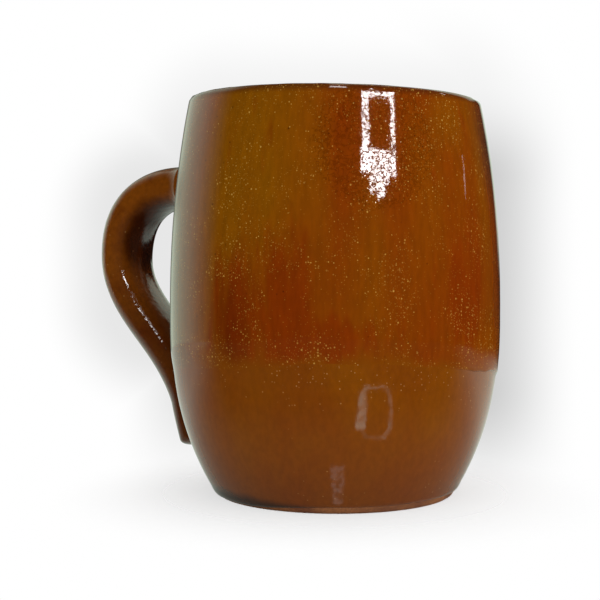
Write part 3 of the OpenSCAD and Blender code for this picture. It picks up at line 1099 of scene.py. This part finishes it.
for piece, look, node, slot in (
    (cup, clay, "clay_body", "fired_clay"),
    (strap, clay, "clay_handle", "fired_clay"),
    (first_coat, brown, "first_coat_glaze", "brown_glaze"),
    (dip_coat, amber, "dip_coat_glaze", "amber_glaze"),
    (liner, inner, "liner_glaze", "liner_glaze"),
    (strap_coat, strap_look, "handle_glaze", "handle_glaze"),
):
    piece.data.materials.append(look)
    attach(piece, "root")
    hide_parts(node)

# The wall mirrors the white backdrop, not the strap in front of it
strap_coat.visible_glossy = False
strap.visible_glossy = False

# The two slips stay as the CAD made them, under the strap's coat
for name in ("upper_joint_slip", "lower_joint_slip"):
    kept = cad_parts[name]
    kept.data.materials.clear()
    kept.data.materials.append(slip)

# The floor: pale for the camera with the mug's soft shadow, fading out into the white background.
# In the glaze's mirror it glows with painted light, dim in front and bright behind, standing in for a glossy
# table. These sizes are in metres

FLOOR_R = 0.46
FLOOR_SIDES = 96
SHADOW_FADE = (0.034, 0.082, 0.68, 1.0)
TABLE_TINT = rgb(0.88, 1, 0.88)
TABLE_FRONT = (0.045, 0.12, 0.14, 0.035)
TABLE_TURN = (-0.055, 0.07)
BEHIND_LEVEL = 0.8
TABLE_END = (0.25, 0.42, 1.0, 0.05)
TABLE_LEFT = (-0.02, 0.02, 1.0, 0.0)

# One polished spot near the foot mirrors a lamp: how far it goes, its middle and sides, and its blotches
SPOT_ROUGHNESS = 0.03
SPOT_END = (0.053, 0.051, 0, 0.08)
SPOT_RIGHT = 0.001
SPOT_SIDE = (0.0055, 0.004)
SPOT_NOISE = (2.5, 2, 0.6)
SPOT_BLOTCH_SHARES = (0.42, 0.58, 0.25, 1.0)

# Window light lying on the table in front: a closed outline with a heavy left side, broken into blotches.
# A corner has the pixel where the lower wall mirrors it in the photograph. Then come the half width of
# its line in millimetres and the line's level
TABLE_LIGHT_PX = (
    ((363, 393), 3.4, 1.5),
    ((366, 387), 4.0, 1.7),
    ((385, 387), 2.6, 1.2),
    ((390, 395), 2.2, 1.0),
    ((391, 411), 1.8, 1.3),
    ((390, 428), 1.6, 1.1),
    ((384, 437), 1.3, 0.6),
    ((366, 437), 1.6, 0.9),
    ((360.4, 425.8), 4.0, 2.2),
    ((362.6, 407.7), 4.4, 2.3),
)
HALVINGS = 40
LINE_OUTER_SHARE = 1.25
LINE_INNER_SHARE = 0.75
LIGHT_NOISE = (9, 2, 0.6)
LIGHT_BLOTCH_SHARES = (0.35, 0.6, 0.45, 1.1)


def mirrored_on_table(across, down):
    """The place on the table that the first coat mirrors at a pixel."""
    ray = unit(look_axis + (side_axis * (across - FRAME_PX / 2) + top_axis * (FRAME_PX / 2 - down)) * PX)
    outside = 0.0
    inside = CAMERA_D
    for _ in range(HALVINGS):
        middle = (outside + inside) / 2
        place = camera_place + ray * middle
        radius = np.hypot(place[0], place[1])
        if radius > outer_r(place[2]) + FIRST_COAT_T:
            outside = middle
        else:
            inside = middle
    normal = unit(np.array([place[0], place[1], -radius * outer_slope(place[2])]))
    bounced = ray - 2 * (ray @ normal) * normal
    return place - bounced * place[2] / bounced[2]


def line_light(tree, place, start, end, half_width):
    """1 on a line of the table, 0 away from it."""
    run = (end - start) * MM
    off = offset(tree, place, start)
    share = calc(tree, "MULTIPLY", dot(tree, off, run), float(1 / (run @ run)), clamp=True)
    foot = add(tree, "ShaderNodeVectorMath", {0: tuple(run), "Scale": share}, operation="SCALE").outputs[0]
    gap = vector_math(tree, "DISTANCE", off, foot)["Value"]
    half = half_width * MM
    return span(tree, gap, half * LINE_OUTER_SHARE, half * LINE_INNER_SHARE)


def shadow_catcher(tree, far, path):
    """What the camera sees: white cloth near the mug, clear further out and from below."""
    matte = add(tree, "ShaderNodeBsdfDiffuse", {"Color": WHITE}).outputs[0]
    clear = add(tree, "ShaderNodeBsdfTransparent").outputs[0]
    underside = add(tree, "ShaderNodeNewGeometry").outputs["Backfacing"]
    fade = larger(tree, span(tree, far, *SHADOW_FADE), underside)
    fade = times(tree, fade, path.outputs["Is Camera Ray"])
    return mix_shaders(tree, fade, matte, clear)


def glossy_table(tree, place, far):
    """What the glaze mirrors: light painted onto the floor, and one polished spot."""
    behind = span(tree, dot(tree, place, AHEAD), *TABLE_TURN)
    table = blend(tree, behind, span(tree, far, *TABLE_FRONT), BEHIND_LEVEL)
    to_side = dot(tree, place, RIGHT)
    table = times(tree, table, larger(tree, span(tree, far, *TABLE_END), span(tree, to_side, *TABLE_LEFT)))
    broken = span(tree, noise(tree, place, *LIGHT_NOISE), *LIGHT_BLOTCH_SHARES)
    corners = [mirrored_on_table(*pixel) for pixel, _, _ in TABLE_LIGHT_PX]
    for n, (_, half_width, level) in enumerate(TABLE_LIGHT_PX):
        end = corners[(n + 1) % len(corners)]
        line = times(tree, line_light(tree, place, corners[n], end, half_width), level)
        table = larger(tree, table, times(tree, line, broken))
    glow = add(tree, "ShaderNodeEmission", {"Color": TABLE_TINT, "Strength": table}).outputs[0]

    sheen = add(tree, "ShaderNodeBsdfGlossy", {"Color": WHITE, "Roughness": SPOT_ROUGHNESS}).outputs[0]
    blotchy = span(tree, noise(tree, place, *SPOT_NOISE), *SPOT_BLOTCH_SHARES)
    polished = times(tree, span(tree, far, *SPOT_END), blotchy)
    off_side = apart(tree, to_side, SPOT_RIGHT)
    polished = times(tree, polished, span(tree, off_side, *SPOT_SIDE))
    return mix_shaders(tree, polished, glow, sheen)


def make_floor():
    mesh = bpy.data.meshes.new("floor")
    ring = [(FLOOR_R * math.cos(t), FLOOR_R * math.sin(t), 0) for t in turns_of(FLOOR_SIDES)]
    mesh.from_pydata(ring, [], [tuple(range(FLOOR_SIDES))])
    made = placed("floor", mesh)
    material = bpy.data.materials.new("table")
    material.use_nodes = True
    tree = material.node_tree
    tree.nodes.clear()
    place = add(tree, "ShaderNodeTexCoord").outputs["Object"]
    path = add(tree, "ShaderNodeLightPath")
    far = length(tree, place)
    seen = shadow_catcher(tree, far, path)
    mirrored = glossy_table(tree, place, far)
    both = mix_shaders(tree, path.outputs["Is Glossy Ray"], seen, mirrored)
    add(tree, "ShaderNodeOutputMaterial", {"Surface": both})
    mesh.materials.append(material)
    return made


make_floor()

# The camera

camera_data = bpy.data.cameras.new("camera")
camera_data.sensor_width = SENSOR_MM
camera_data.lens = FOCAL_PX * SENSOR_MM / FRAME_PX
camera_data.clip_start = CLIP_START
camera = placed("camera", camera_data)
camera.location = camera_place * MM
camera.rotation_euler = Vector(aim_place - camera_place).to_track_quat("-Z", "Y").to_euler()
scene.camera = camera

# The surroundings: a white backdrop with a painted soft shadow behind the mug for the camera,
# plain light for matt surfaces, and white walls at the rear with dark cloth elsewhere in the gloss

# The painted shadow lies round rounded boxes of the picture plane. Their centres, half sizes and corners,
# how far the shadow reaches past them, and the stretches over which it thins out are in pixels
MUG_BOX_PX = (32, 0, 156, 214, 50)
STRAP_BOX_PX = (-130, 40, 68, 100, 60)
RIGHT_BOX_PX = (32, 0, 156, 214, 60)
HALO_INSIDE_PX = -10
HALO_PX = 65
RIGHT_HALO_PX = 95
HALO_DEPTH = 0.2
RIGHT_HALO_DEPTH = 0.4
RIGHT_FROM_PX = (60, 190)
TOP_PX = (120, 215)
TOP_SHARE = 0.55
LOW_PX = (-85, -220)
LEAST_DEEP = 0.05


def span_px(tree, value, pixels, low_to=0.0, high_to=1.0):
    """As span, between two places in pixels."""
    return span(tree, value, pixels[0] * PX, pixels[1] * PX, low_to, high_to)


def halo(tree, u, v, box, grow, depth):
    """Painted soft shadow round a rounded box of the picture plane."""
    centre_u, centre_v, half_u, half_v, corner = (value * PX for value in box)
    out = []
    for value, middle, half in ((u, centre_u, half_u), (v, centre_v, half_v)):
        off = apart(tree, value, middle)
        off = larger(tree, minus(tree, off, half - corner), 0.0)
        out.append(calc(tree, "POWER", off, 2.0))
    far = minus(tree, calc(tree, "SQRT", plus(tree, *out)), corner)
    return span_px(tree, far, (HALO_INSIDE_PX, grow), depth, 0.0)


def backdrop_level(tree, way):
    """The white backdrop with its painted soft shadow round the mug, by direction from the scene's middle.
    """
    deep = larger(tree, dot(tree, way, look_axis), LEAST_DEEP)
    u = calc(tree, "DIVIDE", dot(tree, way, side_axis), deep)
    v = calc(tree, "DIVIDE", dot(tree, way, top_axis), deep)
    round_mug = halo(tree, u, v, MUG_BOX_PX, HALO_PX, HALO_DEPTH)
    round_strap = halo(tree, u, v, STRAP_BOX_PX, HALO_PX, HALO_DEPTH)
    right_side = halo(tree, u, v, RIGHT_BOX_PX, RIGHT_HALO_PX, RIGHT_HALO_DEPTH)
    top_share = span_px(tree, v, TOP_PX, 1.0, TOP_SHARE)
    right_share = times(tree, span_px(tree, u, RIGHT_FROM_PX), top_share)
    # Painted shadow round the mug and the strap, deeper at the right
    painted_shadow = larger(tree, round_mug, round_strap)
    painted_shadow = larger(tree, painted_shadow, times(tree, right_side, right_share))
    painted_shadow = times(tree, painted_shadow, times(tree, top_share, span_px(tree, v, LOW_PX, 1.0, 0.0)))
    return minus(tree, 1.0, painted_shadow)


# Walls in the gloss, by angle to the right of straight ahead and by the height of the direction:
# one at the left rear, and a dimmer one at the right rear that reaches further round high up
LEFT_WALL_START = (-1.68, -1.02)
LEFT_WALL_END = (0.03, -0.02)
LEFT_WALL_DIM = (-0.44, -0.24, 1, 0.15)
LEFT_WALL_TOP = (0.9, 0.6, 0, 1.0)
RIGHT_WALL_START = (-0.02, 0.0)
RIGHT_WALL_END = (0.45, 0.3)
RIGHT_WALL_FOOT = (-0.02, 0.05)
HIGH_WALL_END = (0.9, 0.7)
HIGH_WALL_FOOT = (0.26, 0.36)
RIGHT_WALL_LEVEL = 0.85
CLOTH_LEVEL = 0.01
GLOSS_TINT = rgb(0.84, 1.0, 0.82)
# Dark cloth at the camera's left takes light from matt surfaces there
CLOTH_SIDE = (-0.05, -0.85, 1.0, 0.15)


def wall_level(tree, way, right):
    """The rear walls that the gloss mirrors."""
    up = dot(tree, way, UP)
    angle = calc(tree, "ARCTAN2", right, dot(tree, way, AHEAD))
    left_wall = times(tree, span(tree, angle, *LEFT_WALL_START), span(tree, angle, *LEFT_WALL_END))
    left_wall = times(tree, left_wall, span(tree, angle, *LEFT_WALL_DIM))
    left_wall = times(tree, left_wall, span(tree, up, *LEFT_WALL_TOP))
    right_rear = times(tree, span(tree, angle, *RIGHT_WALL_END), span(tree, up, *RIGHT_WALL_FOOT))
    right_high = times(tree, span(tree, angle, *HIGH_WALL_END), span(tree, up, *HIGH_WALL_FOOT))
    right_wall = times(tree, larger(tree, right_rear, right_high), span(tree, angle, *RIGHT_WALL_START))
    right_wall = times(tree, right_wall, RIGHT_WALL_LEVEL)
    return larger(tree, larger(tree, left_wall, right_wall), CLOTH_LEVEL)


def make_world():
    world = bpy.data.worlds.new("studio")
    scene.world = world
    world.use_nodes = True
    tree = world.node_tree
    tree.nodes.clear()
    way = add(tree, "ShaderNodeTexCoord").outputs["Generated"]
    path = add(tree, "ShaderNodeLightPath")
    in_gloss = path.outputs["Is Glossy Ray"]
    right = dot(tree, way, RIGHT)
    plain = span(tree, right, *CLOTH_SIDE)
    shown = blend(tree, in_gloss, plain, wall_level(tree, way, right))
    shown = blend(tree, path.outputs["Is Camera Ray"], shown, backdrop_level(tree, way))
    tint = colour_mix(tree, in_gloss, WHITE, GLOSS_TINT)
    light = add(tree, "ShaderNodeBackground", {"Color": tint, "Strength": shown}).outputs[0]
    add(tree, "ShaderNodeOutputWorld", {"Surface": light})


make_world()

# Flat lamps seen only in the gloss: a leaning window frame at the right front, three near ones that fill in
# below it, a lamp above it, one high over the camera, and a strip and a lamp at the right

WINDOW_D = 700.0
CEILING_D = 450.0
NEAR_D = 130.0

# Each goes from one spot to another, each a turn from the camera's side, in degrees, and a height.
# Then come its width, its radiance and its distance from the axis
LAMPS = (
    ("window_left", (23.6, 472), (21.8, 300), 62, 27, WINDOW_D),
    ("window_right", (45.5, 456), (40.5, 300), 36, 27, WINDOW_D),
    ("window_top", (21, 474), (47, 456), 10, 42, WINDOW_D),
    ("below_window", (26, 126), (25.6, 113), 49, 27, NEAR_D),
    ("sill", (25.7, 113), (26, 106), 27, 27, NEAR_D),
    ("sill_tip", (26.4, 106), (27, 101.5), 11, 27, NEAR_D),
    ("upper_lamp", (29, 560), (33, 700), 34, 110, WINDOW_D),
    ("ceiling_lamp", (3, 500), (5, 950), 110, 10, CEILING_D),
    ("side_strip", (101.5, 190), (103.5, 256), 8, 4, WINDOW_D),
    ("side_lamp", (104, 540), (106, 640), 24, 12, WINDOW_D),
)


def flat_lamp(name, start, end, width, radiance, reach):
    """A flat lamp between two spots, facing the mug's middle."""
    first = round_place(*start, reach)
    second = round_place(*end, reach)
    span_d = np.linalg.norm(second - first)
    along = (second - first) / span_d
    centre = (first + second) / 2
    back = centre - UP * MUG_H / 2
    back = unit(back - along * (back @ along))
    data = bpy.data.lights.new(name, "AREA")
    data.shape = "RECTANGLE"
    data.size = width * MM
    data.size_y = span_d * MM
    data.energy = radiance * math.pi * data.size * data.size_y
    made = placed(name, data)
    made.location = centre * MM
    made.rotation_euler = Matrix((np.cross(along, back), along, back)).transposed().to_euler()
    made.visible_camera = False
    made.visible_diffuse = False


for lamp in LAMPS:
    flat_lamp(*lamp)

scene.view_settings.view_transform = "Standard"
